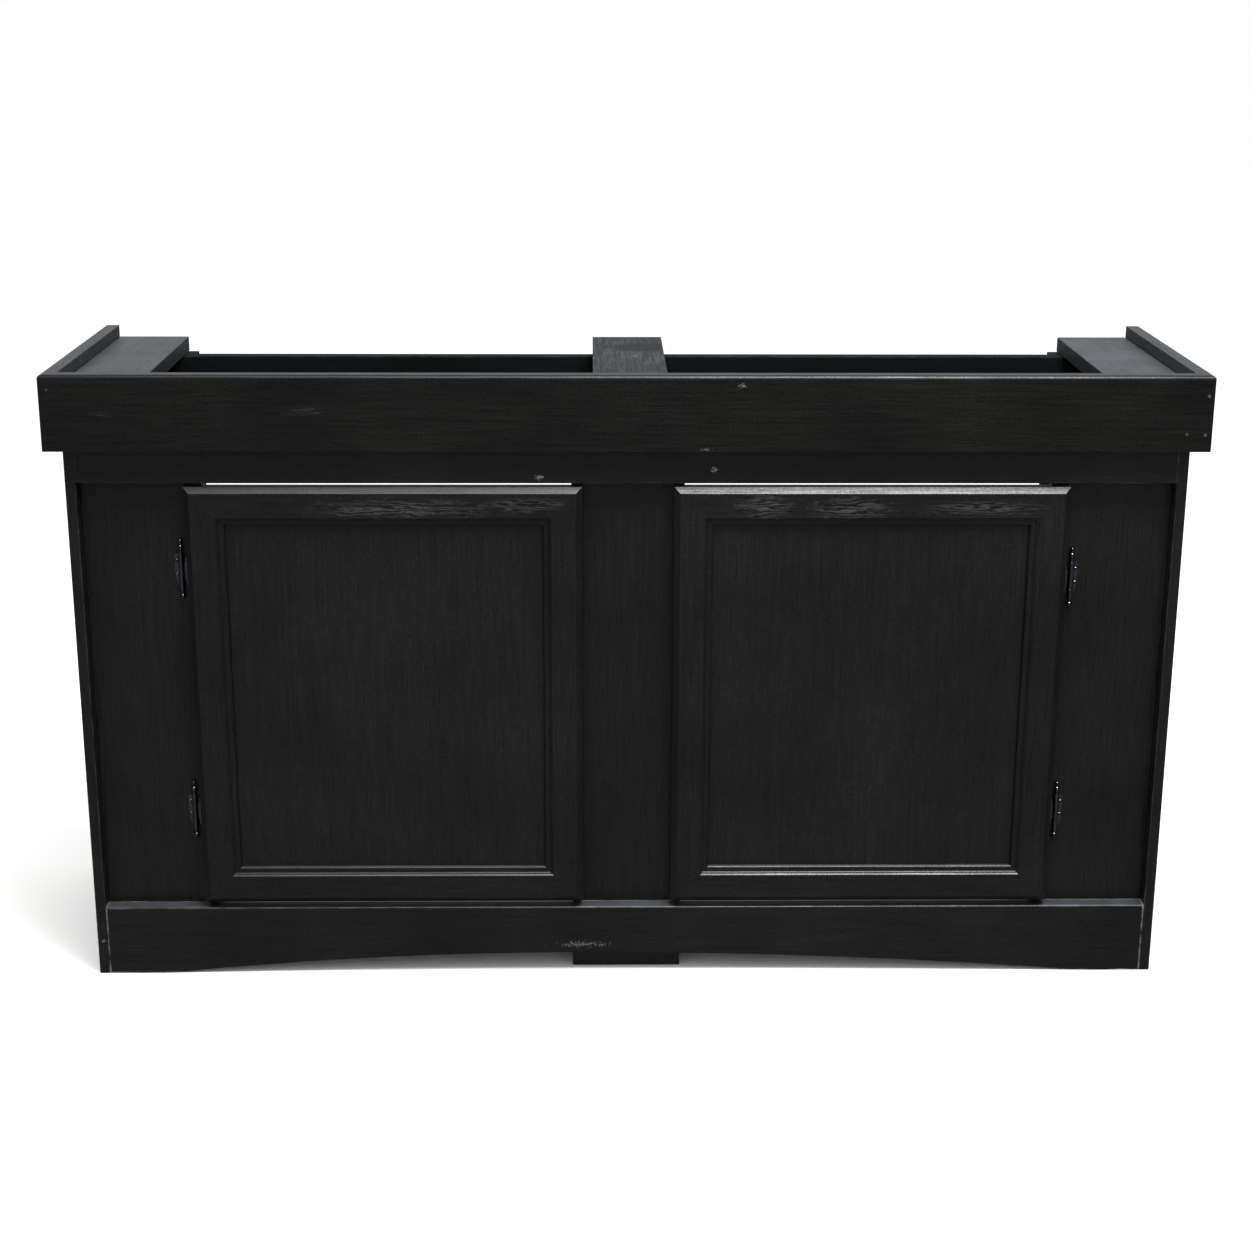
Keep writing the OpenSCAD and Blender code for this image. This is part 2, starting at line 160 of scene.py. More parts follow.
def new_material(name: str) -> tuple[bpy.types.Material, Tree, bpy.types.Node]:
    """Makes an empty material with a Principled shader on its output.

    Args:
        name: Name of the material.

    Returns:
        The material, its node tree and its Principled node.
    """
    material = bpy.data.materials.new(name)
    material.use_nodes = True
    tree = material.node_tree
    tree.nodes.clear()
    surface = add(tree, "BsdfPrincipled")
    add(tree, "OutputMaterial", {"Surface": surface})
    return material, tree, surface


def wear_mask(tree: Tree, place: Socket, box: Box, reach: float) -> Socket:
    """Mask of the arrises of a board: 1 on an edge of its box and 0 from `reach` inwards.

    Args:
        tree: Node tree of the material.
        place: Position on the board, in metres.
        box: Lowest and highest corner of the board.
        reach: Distance from the edge at which the mask has faded out, in metres.

    Returns:
        Socket that holds the mask.
    """
    low, high = box
    half = (high - low) / 2
    offset = add(tree, "VectorMath", {0: place, 1: (low + high) / 2}, operation="SUBTRACT")
    size = add(tree, "VectorMath", {0: offset}, operation="ABSOLUTE")
    inset = add(tree, "VectorMath", {0: half, 1: size}, operation="SUBTRACT")
    axes = add(tree, "SeparateXYZ", {0: inset})
    total = add(tree, "Math", {0: axes.outputs[0], 1: axes.outputs[1]}, operation="ADD")
    total = add(tree, "Math", {0: total, 1: axes.outputs[2]}, operation="ADD")
    most = add(tree, "Math", {0: axes.outputs[0], 1: axes.outputs[1]}, operation="MAXIMUM")
    most = add(tree, "Math", {0: most, 1: axes.outputs[2]}, operation="MAXIMUM")
    distance = add(tree, "Math", {0: total, 1: most}, operation="SUBTRACT")
    mask = add(
        tree,
        "MapRange",
        {"Value": distance, "From Min": 0.0, "From Max": reach, "To Min": 1.0, "To Max": 0.0},
        interpolation_type="SMOOTHSTEP",
    )
    return mask.outputs[0]


@dataclass(frozen=True)
class Mark:
    """Small local mark on a painted face: a chip, a filled brad, a scuff, a bloomed patch of grain or a
    painted shadow.

    Args:
        place: Middle of the mark in millimetres, in the frame's axes.
        size: Half of its width, depth and height in millimetres.
        colour: Colour that shows in it.
        strength: How much of that colour shows, from 0 to 1.
        ragged: How far noise breaks its outline, as a share of its size.
        streaked: True where it follows the grain as fine wandering lines.
        boxed: True where it fills its box instead of an ellipsoid.
        matt: Roughness that the paint gains there; the painted shadows under the doors use it to dull their
            gloss.
    """

    place: Triple
    size: Triple
    colour: str
    strength: float = 1.0
    ragged: float = 0.5
    streaked: bool = False
    boxed: bool = False
    matt: float = 0.0
    # Noise cells across a mark, swing for each unit of `ragged`, and thinning of one more ragged than 1.
    cells_across: ClassVar[float] = 2.2
    raggedness: ClassVar[float] = 3.0
    thinning: ClassVar[float] = 0.4
    # Width of the soft edge of each sort of mark, as a share of its size.
    streak_fade: ClassVar[float] = 0.9
    box_fade: ClassVar[float] = 0.04
    spot_fade: ClassVar[float] = 0.25

    def mask(self, tree: Tree, place: Socket) -> Socket:
        """Mask that is `strength` inside the mark and 0 outside it.

        Args:
            tree: Node tree of the material.
            place: Position on the piece, in metres.

        Returns:
            Socket that holds the mask.
        """
        middle = Vector(self.place) * MM
        reach = Vector(self.size) * MM
        offset = add(tree, "VectorMath", {0: place, 1: middle}, operation="SUBTRACT")
        scaled = add(tree, "VectorMath", {0: offset, 1: reach}, operation="DIVIDE")
        distance = add(tree, "VectorMath", {0: scaled}, operation="LENGTH").outputs["Value"]
        if self.boxed:
            sides = add(tree, "SeparateXYZ", {0: add(tree, "VectorMath", {0: scaled}, operation="ABSOLUTE")})
            distance = add(tree, "Math", {0: sides.outputs[0], 1: sides.outputs[1]}, operation="MAXIMUM")
            distance = add(tree, "Math", {0: distance, 1: sides.outputs[2]}, operation="MAXIMUM").outputs[0]
        grit = add(
            tree,
            "TexNoise",
            {
                "Vector": place,
                "Scale": self.cells_across / min(reach.x, reach.z),
                "Detail": 5.0,
                "Roughness": 0.7,
            },
        )
        broken = add(tree, "Math", {0: grit, 1: 0.5}, operation="SUBTRACT")
        swing = self.ragged * self.raggedness
        broken = add(tree, "Math", {0: broken, 1: swing, 2: distance}, operation="MULTIPLY_ADD")
        if self.ragged > 1.0:
            broken = add(tree, "Math", {0: broken, 1: self.ragged * self.thinning}, operation="ADD")
        fade = self.streak_fade if self.streaked else self.box_fade if self.boxed else self.spot_fade
        mask = add(
            tree,
            "MapRange",
            {
                "Value": broken,
                "From Min": 1.0 - fade,
                "From Max": 1.0,
                "To Min": self.strength,
                "To Max": 0.0,
            },
            interpolation_type="SMOOTHSTEP",
        )
        if not self.streaked:
            return mask.outputs[0]
        wander = add(tree, "Mapping", {"Vector": place, "Scale": (0.16, 1.0, 1.0)})
        lines = add(
            tree,
            "TexWave",
            {"Vector": wander, "Scale": 70.0, "Distortion": 14.0, "Detail": 5.0, "Detail Scale": 2.4},
            bands_direction="Z",
        )
        fine = add(
            tree,
            "MapRange",
            {"Value": lines.outputs["Fac"], "From Min": 0.3, "From Max": 1.0, "To Min": 0.0, "To Max": 1.0},
        )
        return add(tree, "Math", {0: mask, 1: fine}, operation="MULTIPLY").outputs[0]


@dataclass(frozen=True)
class BlackOilPaint:
    """Brushed black oil paint over planed softwood.

    The film is thin, so the grain shows through as fine lengthwise ridges that break up the gloss. Dust
    lies grey on what faces upwards, and arrises rub through to a greyer film.
    """

    name: str
    colour: str = "#040403"
    streak: str = "#141210"
    rubbed: str = "#3c3d3e"
    dust: str = "#45484b"
    dust_amount: float = 0.55
    roughness: float = 0.27
    roughness_swing: float = 0.16
    specular: float = 0.42
    # Bristle and grain lines are under 1 mm wide. They are drawn as coarse as they need to be to show.
    fibre_width: float = 1.8 * MM
    fibre_length: float = 60 * MM
    cloud_size: float = 160 * MM
    mottle: float = 2.6 * MM
    relief: float = 0.12 * MM
    wear_reach: float = 1.8 * MM
    wear_amount: float = 0.5
    # How deep the dust is parted by saw marks: 0 on a planed board.
    sawn: float = 0.0
    # These shift the grain by the board's name, so that boards differ.
    seeds: ClassVar[int] = 97
    seed_step: ClassVar[float] = 0.37
    # Part of the gloss's pattern that follows the fibres. The rest is speckle.
    fibre_share: ClassVar[float] = 0.65

    def material(
        self,
        piece: str,
        grain: Grain,
        box: Box,
        marks: tuple[Mark, ...] = (),
    ) -> bpy.types.Material:
        """Makes the paint for one board.

        Args:
            piece: Name of the board that it is for.
            grain: Way the fibres run in that board.
            box: Box of the board, which places its worn arrises.
            marks: Marks on that board.

        Returns:
            The finished material.
        """
        material, tree, surface = new_material(f"{self.name}_{piece}")
        place = add(tree, "TexCoord").outputs["Object"]
        seed = (sum(map(ord, piece)) % self.seeds) * self.seed_step
        stretch = [1 / self.fibre_width] * 3
        stretch[grain.value] = 1 / self.fibre_length
        fibres_at = add(tree, "Mapping", {"Vector": place, "Location": (seed, -seed, seed), "Scale": stretch})
        fibres = add(
            tree,
            "TexNoise",
            {"Vector": fibres_at, "Scale": 1.0, "Detail": 4.0, "Roughness": 0.6, "Distortion": 0.15},
        )
        cloud = add(
            tree,
            "TexNoise",
            {"Vector": place, "Scale": 1 / self.cloud_size, "Detail": 3.0, "Roughness": 0.55},
        )
        speckle = add(tree, "TexNoise", {"Vector": place, "Scale": 1 / self.mottle, "Detail": 2.0})
        tone = add(tree, "Math", {0: fibres, 1: cloud}, operation="MULTIPLY")
        tone = add(tree, "Math", {0: tone, 1: speckle}, operation="MULTIPLY")
        tone = add(
            tree,
            "MapRange",
            {"Value": tone, "From Min": 0.03, "From Max": 0.26, "To Min": 0.0, "To Max": 1.0},
        )
        layers = [
            (tone.outputs[0], self.streak),
            (self._dust(tree, place, fibres), self.dust),
            (self._wear(tree, place, box), self.rubbed),
        ]
        brushed = add(tree, "Math", {0: fibres, 1: self.fibre_share}, operation="MULTIPLY")
        brushed = add(
            tree, "Math", {0: speckle, 1: 1.0 - self.fibre_share, 2: brushed}, operation="MULTIPLY_ADD"
        )
        gloss = add(
            tree,
            "MapRange",
            {
                "Value": brushed,
                "From Min": 0.38,
                "From Max": 0.62,
                "To Min": self.roughness,
                "To Max": self.roughness + self.roughness_swing,
            },
        )
        for mark in marks:
            mask = mark.mask(tree, place)
            layers.append((mask, mark.colour))
            if mark.matt:
                gloss = add(tree, "Math", {0: mask, 1: mark.matt, 2: gloss}, operation="MULTIPLY_ADD")
        colour = paint(self.colour)
        for mask, over in layers:
            mix = add(
                tree,
                "Mix",
                {"Factor": mask, MIX_UNDER: colour, MIX_OVER: paint(over)},
                data_type="RGBA",
            )
            colour = mix.outputs[MIX_COLOUR]
        height = add(tree, "Math", {0: speckle, 1: 0.6, 2: fibres}, operation="MULTIPLY_ADD")
        bump = add(tree, "Bump", {"Height": height, "Distance": self.relief, "Strength": 0.8})
        surface.inputs["Specular IOR Level"].default_value = self.specular
        tree.links.new(colour, surface.inputs["Base Color"])
        tree.links.new(gloss.outputs[0], surface.inputs["Roughness"])
        tree.links.new(bump.outputs[0], surface.inputs["Normal"])
        return material

    def _dust(self, tree: Tree, place: Socket, fibres: bpy.types.Node) -> Socket:
        """Mask of the dust on what faces upwards, gathered in the grain and in saw marks.

        Args:
            tree: Node tree of the material.
            place: Position on the board, in metres.
            fibres: Noise that follows the fibres.

        Returns:
            Socket that holds the mask.
        """
        facing = add(tree, "SeparateXYZ", {0: add(tree, "TexCoord").outputs["Normal"]})
        upward = add(
            tree,
            "MapRange",
            {
                "Value": facing.outputs[2],
                "From Min": 0.8,
                "From Max": 0.99,
                "To Min": 0.0,
                "To Max": self.dust_amount,
            },
            interpolation_type="SMOOTHSTEP",
        )
        swept = add(tree, "TexNoise", {"Vector": place, "Scale": 16.0, "Detail": 5.0, "Roughness": 0.6})
        patchy = add(
            tree,
            "MapRange",
            {"Value": swept, "From Min": 0.35, "From Max": 0.65, "To Min": 0.55, "To Max": 1.0},
        )
        lying = add(tree, "Math", {0: upward, 1: patchy}, operation="MULTIPLY")
        if not self.sawn:
            return lying.outputs[0]
        grooved = add(
            tree,
            "MapRange",
            {"Value": fibres, "From Min": 0.4, "From Max": 0.6, "To Min": 1.0 - self.sawn, "To Max": 1.0},
        )
        return add(tree, "Math", {0: lying, 1: grooved}, operation="MULTIPLY").outputs[0]

    def _wear(self, tree: Tree, place: Socket, box: Box) -> Socket:
        """Mask of the rubbed arrises, broken up as hands and cloths leave them. On the skirt it also lays a
        painted highlight along the top arris.

        Args:
            tree: Node tree of the material.
            place: Position on the board, in metres.
            box: Box of the board.

        Returns:
            Socket that holds the mask.
        """
        edge = wear_mask(tree, place, box, self.wear_reach)
        patches = add(tree, "TexNoise", {"Vector": place, "Scale": 38.0, "Detail": 5.0, "Roughness": 0.65})
        broken = add(
            tree,
            "MapRange",
            {"Value": patches, "From Min": 0.40, "From Max": 0.66, "To Min": 0.0, "To Max": self.wear_amount},
        )
        return add(tree, "Math", {0: edge, 1: broken}, operation="MULTIPLY").outputs[0]


@dataclass(frozen=True)
class BlackNickel:
    """Black nickel plate on pressed and turned steel: dark and mirror-like, with small sharp highlights."""

    name: str = "black_nickel"
    colour: str = "#68686c"
    roughness: float = 0.09
    roughness_swing: float = 0.10
    # Size of the hazy patches.
    ripple: float = 5 * MM

    def material(self) -> bpy.types.Material:
        """Makes the plate, a little hazy where fingers and dust have dulled it.

        Returns:
            The finished material.
        """
        material, tree, surface = new_material(self.name)
        place = add(tree, "TexCoord").outputs["Object"]
        haze = add(tree, "TexNoise", {"Vector": place, "Scale": 1 / self.ripple, "Detail": 3.0})
        bump = add(tree, "Bump", {"Height": haze, "Distance": 0.02 * MM, "Strength": 0.4})
        gloss = add(
            tree,
            "MapRange",
            {
                "Value": haze,
                "From Min": 0.35,
                "From Max": 0.7,
                "To Min": self.roughness,
                "To Max": self.roughness + self.roughness_swing,
            },
        )
        surface.inputs["Base Color"].default_value = paint(self.colour)
        surface.inputs["Metallic"].default_value = 1.0
        tree.links.new(gloss.outputs[0], surface.inputs["Roughness"])
        tree.links.new(bump.outputs[0], surface.inputs["Normal"])
        return material


@dataclass(frozen=True)
class BumperRubber:
    """Soft grey rubber of the door bumpers: matt, with a fine moulded grain."""

    name: str = "bumper_rubber"
    colour: str = "#3b3a38"
    # The moulded grain is finer. It is drawn as coarse as it needs to be to show.
    grit: float = 0.5 * MM

    def material(self) -> bpy.types.Material:
        """Makes the rubber.

        Returns:
            The finished material.
        """
        material, tree, surface = new_material(self.name)
        place = add(tree, "TexCoord").outputs["Object"]
        grain = add(tree, "TexNoise", {"Vector": place, "Scale": 1 / self.grit, "Detail": 2.0})
        bump = add(tree, "Bump", {"Height": grain, "Distance": 0.1 * MM, "Strength": 0.4})
        surface.inputs["Base Color"].default_value = paint(self.colour)
        surface.inputs["Roughness"].default_value = 0.8
        tree.links.new(bump.outputs[0], surface.inputs["Normal"])
        return material


def dress(node: str, material: bpy.types.Material) -> None:
    """Gives a CAD node one material.

    Args:
        node: Name of the CAD node.
        material: Its material.
    """
    piece = bpy.data.objects[node]
    piece.data.materials.clear()
    piece.data.materials.append(material)


def body_of(node: str) -> str:
    """Finds the body that a CAD node rides on.

    Args:
        node: Name of the CAD node.

    Returns:
        Name of the body.
    """
    return bpy.data.objects[node].parent.name.split(":")[1]


def pick(piece: bpy.types.Object) -> None:
    """Leaves only this piece selected and active.

    Args:
        piece: Piece to select.
    """
    bpy.ops.object.select_all(action="DESELECT")
    piece.select_set(True)
    bpy.context.view_layer.objects.active = piece


def stand_for(piece: bpy.types.Object, node: str, material: bpy.types.Material) -> None:
    """Puts a worked piece in the place of its CAD node.

    Args:
        piece: The finished piece, already in place.
        node: CAD node that it stands for.
        material: Finish of the piece.
    """
    piece.data.materials.clear()
    piece.data.materials.append(material)
    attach(piece, body_of(node))
    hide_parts(node)
    log.info("worked piece: %s", piece.name)


def merged_copy(node: str, name: str) -> bpy.types.Object:
    """Copies a CAD node's mesh as one clean mesh whose flat faces are whole.

    Args:
        node: CAD node to copy.
        name: Name of the copy.

    Returns:
        The copy, at the origin.
    """
    source = bpy.data.objects[node]
    copy = bpy.data.objects.new(name, source.data.copy())
    bpy.context.scene.collection.objects.link(copy)
    pick(copy)
    bpy.ops.object.mode_set(mode="EDIT")
    bpy.ops.mesh.select_mode(type="VERT")
    bpy.ops.mesh.select_all(action="SELECT")
    bpy.ops.mesh.remove_doubles(threshold=MERGE_DISTANCE)
    bpy.ops.mesh.dissolve_limited(angle_limit=FLAT_ANGLE)
    bpy.ops.mesh.normals_make_consistent(inside=False)
    bpy.ops.object.mode_set(mode="OBJECT")
    return copy


def break_arrises(piece: bpy.types.Object, width: float, turns: int = 3) -> None:
    """Rounds the sharp edges of a piece and shades it smooth.

    Args:
        piece: Piece with a merged mesh.
        width: Width of the rounding, in metres.
        turns: Number of faces across the rounding.
    """
    pick(piece)
    bevel = piece.modifiers.new("arrises", "BEVEL")
    bevel.width = width
    bevel.segments = turns
    bevel.limit_method = "ANGLE"
    bevel.angle_limit = ARRIS_ANGLE
    bpy.ops.object.modifier_apply(modifier=bevel.name)
    bpy.ops.object.shade_smooth_by_angle(angle=SMOOTH_ANGLE)


def dome_free_faces(piece: bpy.types.Object, height: float, turns: int = 5) -> None:
    """Domes the faces that look towards +Y and leaves the faces that are stuck down flat.

    Args:
        piece: Piece with a merged mesh.
        height: Width of the rounding, in metres.
        turns: Number of faces across the rounding.
    """
    squarely = 0.9  # least part of a face's normal that points along +Y
    pick(piece)
    for part in (piece.data.vertices, piece.data.edges):
        for item in part:
            item.select = False
    for face in piece.data.polygons:
        face.select = face.normal.y > squarely
    bpy.ops.object.mode_set(mode="EDIT")
    bpy.ops.mesh.select_mode(type="FACE")
    bpy.ops.mesh.region_to_loop()
    bpy.ops.mesh.bevel(offset=height, segments=turns, profile=0.5, affect="EDGES", clamp_overlap=True)
    bpy.ops.mesh.select_mode(type="VERT")
    bpy.ops.mesh.select_all(action="SELECT")
    bpy.ops.mesh.normals_make_consistent(inside=False)
    bpy.ops.object.mode_set(mode="OBJECT")
    bpy.ops.object.shade_smooth_by_angle(angle=SMOOTH_ANGLE)


@dataclass
class SlottedScrews:
    """Group of screws that share a node, each with its slot sawn across its head."""

    node: str
    heads: Facing
    slot_width: float = 0.7 * MM
    slot_depth: float = 0.55 * MM
    # Length of the saw's cut, in widths of the head.
    slot_reach: float = 1.4

    def build(self, plate: bpy.types.Material) -> None:
        """Saws the slots, each turned as a screwdriver happened to leave it.

        Args:
            plate: Finish of the screws.
        """
        piece = merged_copy(self.node, f"{self.node}_slotted")
        bpy.ops.object.mode_set(mode="EDIT")
        bpy.ops.mesh.select_all(action="SELECT")
        bpy.ops.mesh.separate(type="LOOSE")
        bpy.ops.object.mode_set(mode="OBJECT")
        screws = list(bpy.context.selected_objects)
        turn = random.Random(self.node)
        for screw in screws:
            self.saw_slot(screw, turn.uniform(0, math.pi))
        bpy.ops.object.select_all(action="DESELECT")
        for screw in screws:
            screw.select_set(True)
        bpy.context.view_layer.objects.active = piece
        bpy.ops.object.join()
        bpy.ops.object.shade_smooth_by_angle(angle=SMOOTH_ANGLE)
        stand_for(piece, self.node, plate)

    def saw_slot(self, screw: bpy.types.Object, angle: float) -> None:
        """Saws one slot.

        Args:
            screw: Screw on its own, with its axis along Y.
            angle: Angle of the slot about that axis, in radians.
        """
        corners = [Vector(corner) for corner in screw.bound_box]
        low = Vector([min(c[i] for c in corners) for i in range(3)])
        high = Vector([max(c[i] for c in corners) for i in range(3)])
        middle = (low + high) / 2
        middle.y = low.y if self.heads is Facing.FRONT else high.y
        bpy.ops.object.select_all(action="DESELECT")
        bpy.ops.mesh.primitive_cube_add(
            size=1.0,
            location=middle,
            rotation=(0.0, angle, 0.0),
            scale=((high.x - low.x) * self.slot_reach, self.slot_depth * 2, self.slot_width),
        )
        saw = bpy.context.object
        pick(screw)
        cut = screw.modifiers.new("slot", "BOOLEAN")
        cut.object = saw
        cut.solver = "EXACT"
        bpy.ops.object.modifier_apply(modifier=cut.name)
        bpy.data.objects.remove(saw)


@dataclass
class Case:
    """The boards that make the cabinet's case, rim, top and shelf.

    All are in the same black paint, which age and use have changed: dusty and duller on the tops, rubbed grey
    along the arrises of the skirt, where the pale grey is also a painted highlight along its top arris, rough
    over saw marks on the middle board, and thin and flat inside.
    """

    outside: BlackOilPaint = field(default_factory=lambda: BlackOilPaint("case_oil_paint"))
    tops: BlackOilPaint = field(
        default_factory=lambda: BlackOilPaint("top_oil_paint", dust_amount=0.5, roughness=0.42)
    )
    # The skirt's pale rubbed grey is partly wear and partly a painted highlight along its top arris.
    skirt: BlackOilPaint = field(
        default_factory=lambda: BlackOilPaint(
            "skirt_oil_paint",
            rubbed="#75777b",
            dust_amount=0.8,
            wear_amount=0.95,
            wear_reach=2.4 * MM,
        )
    )
    rims: BlackOilPaint = field(
        default_factory=lambda: BlackOilPaint(
            "rim_oil_paint",
            dust_amount=0.06,
            specular=0.28,
            wear_amount=0.2,
        )
    )
    rough_top: BlackOilPaint = field(
        default_factory=lambda: BlackOilPaint(
            "sawn_oil_paint",
            colour="#04100f",
            dust_amount=0.5,
            roughness=0.6,
            specular=0.2,
            sawn=0.85,
            fibre_width=2.6 * MM,
            fibre_length=45 * MM,
            relief=0.3 * MM,
        )
    )
    inside: BlackOilPaint = field(
        default_factory=lambda: BlackOilPaint(
            "thin_oil_paint",
            colour="#030505",
            streak="#0a1010",
            dust_amount=0.05,
            roughness=0.7,
            specular=0.08,
            relief=0.15 * MM,
        )
    )

    def marks(self) -> dict[str, tuple[Mark, ...]]:
        """Lists the marks that years of use have left, and the painted shadows on the skirt's ledge under the
        doors, in millimetres.

        Returns:
            The marks of each board that has any, by node.
        """
        filler = "#34363a"
        wood = "#6b452a"
        front = -171.5
        face = -153.5
        shaded_ledge = -145
        return {
            "front_rim": (
                Mark((628, front, 689), (2.2, 4, 2.2), filler, 0.9, 0.2),
                Mark((627, front, 646), (2.2, 4, 2.2), filler, 0.9, 0.2),
                Mark((607, front, 647), (1.8, 4, 1.8), filler, 0.7, 0.2),
                Mark((-625, front, 695), (1.8, 4, 1.8), filler, 0.5, 0.2),
                Mark((121, front, 700), (7, 6, 4), "#5a5e61", 0.7, 1.5),
                Mark((84, front, 630), (9, 6, 3), "#4c4f51", 0.6, 1.5),
                Mark((-350, front, 672), (34, 4, 9), "#222324", 0.6, 0.7, True),
                Mark((-570, front, 668), (16, 4, 4), "#222324", 0.5, 0.7, True),
            ),
            "front_top_rail": (
                Mark((-97, face, 595), (7, 6, 5), "#686c6f", 0.7, 1.4),
                Mark((95, face, 603), (6, 6, 4), "#686c6f", 0.6, 1.4),
            ),
            "base_skirt": (
                Mark((-52, face, 35), (50, 8, 6), "#4a4d50", 0.6, 1.5),
                # Painted shadow: a dark bluish strip on the ledge under each door stands in for the door's
                # shade, with duller gloss.
                Mark((-270, shaded_ledge, 83), (219, 7, 1), "#030408", 0.9, 0.0, boxed=True, matt=0.5),
                Mark((270, shaded_ledge, 83), (219, 7, 1), "#030408", 0.9, 0.0, boxed=True, matt=0.5),
            ),
            "left_side_panel": (Mark((-610, face, 41), (5, 6, 4), wood, 0.55, 1.3),),
            "middle_board": (
                Mark((22, 95, 697), (46, 34, 4), "#061312", 0.75, 0.7),
                Mark((-40, 20, 697), (10, 14, 6), "#5b6162", 0.4, 1.7),
                Mark((10, 34, 697), (9, 11, 6), "#646a6b", 0.4, 1.7),
            ),
        }

    def boards(self) -> dict[str, tuple[BlackOilPaint, Grain]]:
        """Lists the boards in groups that share a finish and a grain.

        Returns:
            Each board's finish and grain, by node.
        """
        upright = ("left_side_panel", "right_side_panel", "left_stile", "centre_stile", "right_stile")
        hidden = ("back_top_rail", "back_bottom_rail", "shelf", "front_shelf_cleat", "back_shelf_cleat")
        groups = (
            (upright, self.outside, Grain.ALONG_Z),
            (("front_top_rail",), self.outside, Grain.ALONG_X),
            (("base_skirt",), self.skirt, Grain.ALONG_X),
            (("front_rim",), self.rims, Grain.ALONG_X),
            (("left_rim", "right_rim"), self.rims, Grain.ALONG_Y),
            (("left_end_board", "right_end_board"), self.tops, Grain.ALONG_Y),
            (("middle_board",), self.rough_top, Grain.ALONG_Y),
            (hidden, self.inside, Grain.ALONG_X),
            (("back_left_post", "back_right_post"), self.inside, Grain.ALONG_Z),
            (("left_shelf_cleat", "right_shelf_cleat"), self.inside, Grain.ALONG_Y),
        )
        return {node: (finish, grain) for nodes, finish, grain in groups for node in nodes}

    def build(self) -> None:
        """Paints every board."""
        marks = self.marks()
        for node, (finish, grain) in self.boards().items():
            dress(node, finish.material(node, grain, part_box(node), marks.get(node, ())))
            log.info("case: %s in %s", node, finish.name)


@dataclass
class Door:
    """One framed door with its bumpers. The film on the panel lies smoother than on the bars."""

    side: Side
    dome: float = 1.3 * MM
    frame: BlackOilPaint = field(default_factory=lambda: BlackOilPaint("door_oil_paint", roughness=0.26))
    panel: BlackOilPaint = field(
        default_factory=lambda: BlackOilPaint("panel_oil_paint", colour="#060505", relief=0.03 * MM)
    )

    def bloom(self) -> tuple[Mark, ...]:
        """Lists the patches of whitish bloom over the open grain of the top bar, in millimetres.

        Returns:
            The marks of this door's top bar.
        """
        pale = "#333335"
        face = -156.5
        if self.side is Side.LEFT:
            return (
                Mark((-250, face, 560), (130, 8, 16), pale, 0.8, 0.4, True),
                Mark((-110, face, 564), (70, 8, 11), pale, 0.7, 0.4, True),
            )
        return (
            Mark((150, face, 562), (46, 8, 18), pale, 0.9, 0.4, True),
            Mark((245, face, 560), (60, 8, 18), pale, 0.9, 0.4, True),
            Mark((395, face, 560), (90, 8, 12), pale, 0.7, 0.4, True),
        )

    def build(self, rubber: bpy.types.Material) -> None:
        """Paints the door's bars and panel and domes its bumpers.

        Args:
            rubber: Material of the bumpers.
        """
        stem = f"{self.side.word}_door_"
        bars = {
            "hinge_bar": Grain.ALONG_Z,
            "free_bar": Grain.ALONG_Z,
            "top_bar": Grain.ALONG_X,
            "foot_bar": Grain.ALONG_X,
        }
        for bar, grain in bars.items():
            marks = self.bloom() if bar == "top_bar" else ()
            dress(stem + bar, self.frame.material(stem + bar, grain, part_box(stem + bar), marks))
        dress(stem + "panel", self.panel.material(stem + "panel", Grain.ALONG_Z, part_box(stem + "panel")))
        bumpers = merged_copy(stem + "bumpers", stem + "bumpers_domed")
        dome_free_faces(bumpers, self.dome)
        stand_for(bumpers, stem + "bumpers", rubber)
        log.info("door: %s", self.side.word)


